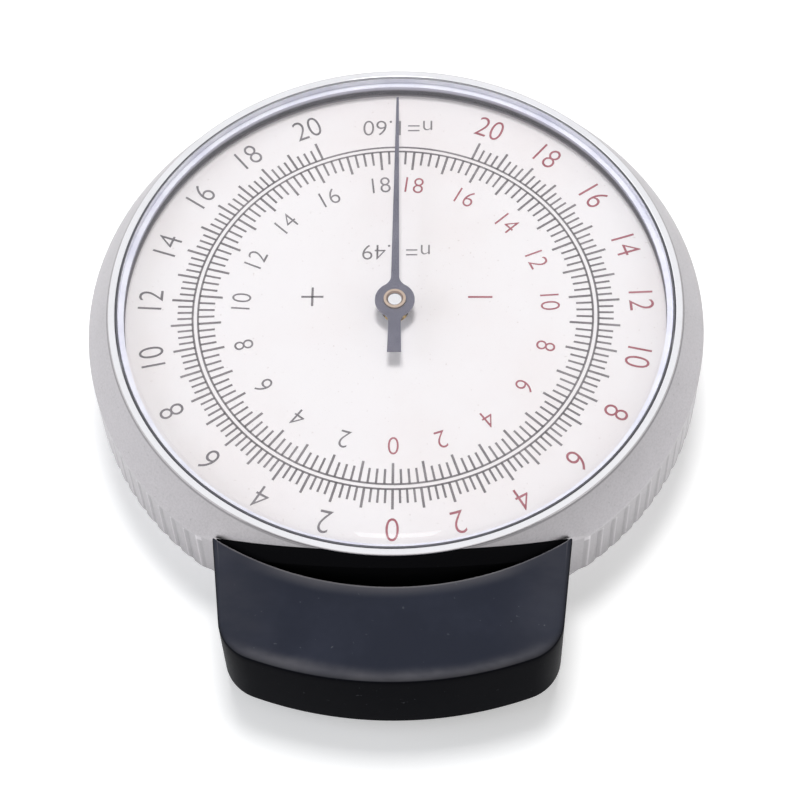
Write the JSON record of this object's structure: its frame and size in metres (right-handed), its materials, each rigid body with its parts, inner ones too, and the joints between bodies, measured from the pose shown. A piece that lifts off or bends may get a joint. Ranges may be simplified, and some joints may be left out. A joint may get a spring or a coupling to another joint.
{
  "type": "lens clock",
  "caption": "Round dial gauge with a fluted case, a printed dioptre dial under a crystal, a pointer driven by a sprung middle foot between fixed feet, and a slip-on cap.",
  "frame": {"origin": "on the dial axis, at the flat back face", "axes": "+Z out of the dial towards the reader, -Y along the feet towards the lens, +X to the reader's right with the feet below"},
  "size_m": [0.0554, 0.0639, 0.014],
  "materials": {
    "case_metal": "satin, turned and fluted",
    "bezel_chrome": "polished",
    "crystal_clear": "clear, polished",
    "gasket_black": "matte",
    "dial_white": "matte white with a printed scale",
    "pointer_blue": "blued, satin",
    "brass": "turned",
    "steel": "ground",
    "spring_blue": "blued",
    "block_black": "matte",
    "cap_black": "satin, moulded"
  },
  "bodies": {
    "case": {"case_body": "case_metal", "back_cover": "case_metal", "back_cover_screws": "steel", "bezel": "bezel_chrome", "crystal": "crystal_clear", "crystal_gasket": "gasket_black", "dial_plate": "dial_white", "dial_feet": "brass", "hairspring": "spring_blue", "hairspring_stud": "steel", "front_plate": "brass", "back_plate": "brass", "pillars": "brass", "pillar_screws": "steel", "plate_screws": "steel", "centre_bush": "brass", "return_spring": "steel", "spring_bracket": "brass", "bracket_screws": "steel", "foot_block": "block_black", "foot_screws": "steel", "plunger_bush": "brass", "left_foot": "steel", "right_foot": "steel"},
    "plunger": {"plunger": "steel", "plunger_rack": "steel", "plunger_collar": "brass"},
    "idler": {"gear_arbor": "steel", "drive_gear": "brass"},
    "hand": {"pointer": "pointer_blue", "pointer_collet": "brass", "centre_arbor": "steel", "hairspring_collet": "brass"},
    "cap": {"protective_cap": "cap_black"}
  },
  "joints": [
    {"name": "plunger_slide", "type": "slide", "parent": "case", "child": "plunger", "axis": [0, 1, 0], "range_m": [0, 0.0039], "stiffness_N_per_m": 150, "springref_m": -0.003, "deforming": ["return_spring", "hairspring"]},
    {"name": "idler_turn", "type": "hinge", "parent": "case", "child": "idler", "pos_m": [-0.003, -0.00817, 0], "axis": [0, 0, 1], "range_deg": [0, 93.5]},
    {"name": "hand_turn", "type": "hinge", "parent": "case", "child": "hand", "pos_m": [0, 0, 0], "axis": [0, 0, 1], "range_deg": [-358, 0]},
    {"name": "cap_slide", "type": "slide", "parent": "case", "child": "cap", "axis": [0, -1, 0], "range_m": [0, 0.03]}
  ],
  "couplings": [
    {"joint": "idler_turn", "follows": "plunger_slide", "rad_per_m": 416.67},
    {"joint": "hand_turn", "follows": "plunger_slide", "rad_per_m": -1597.2}
  ]
}
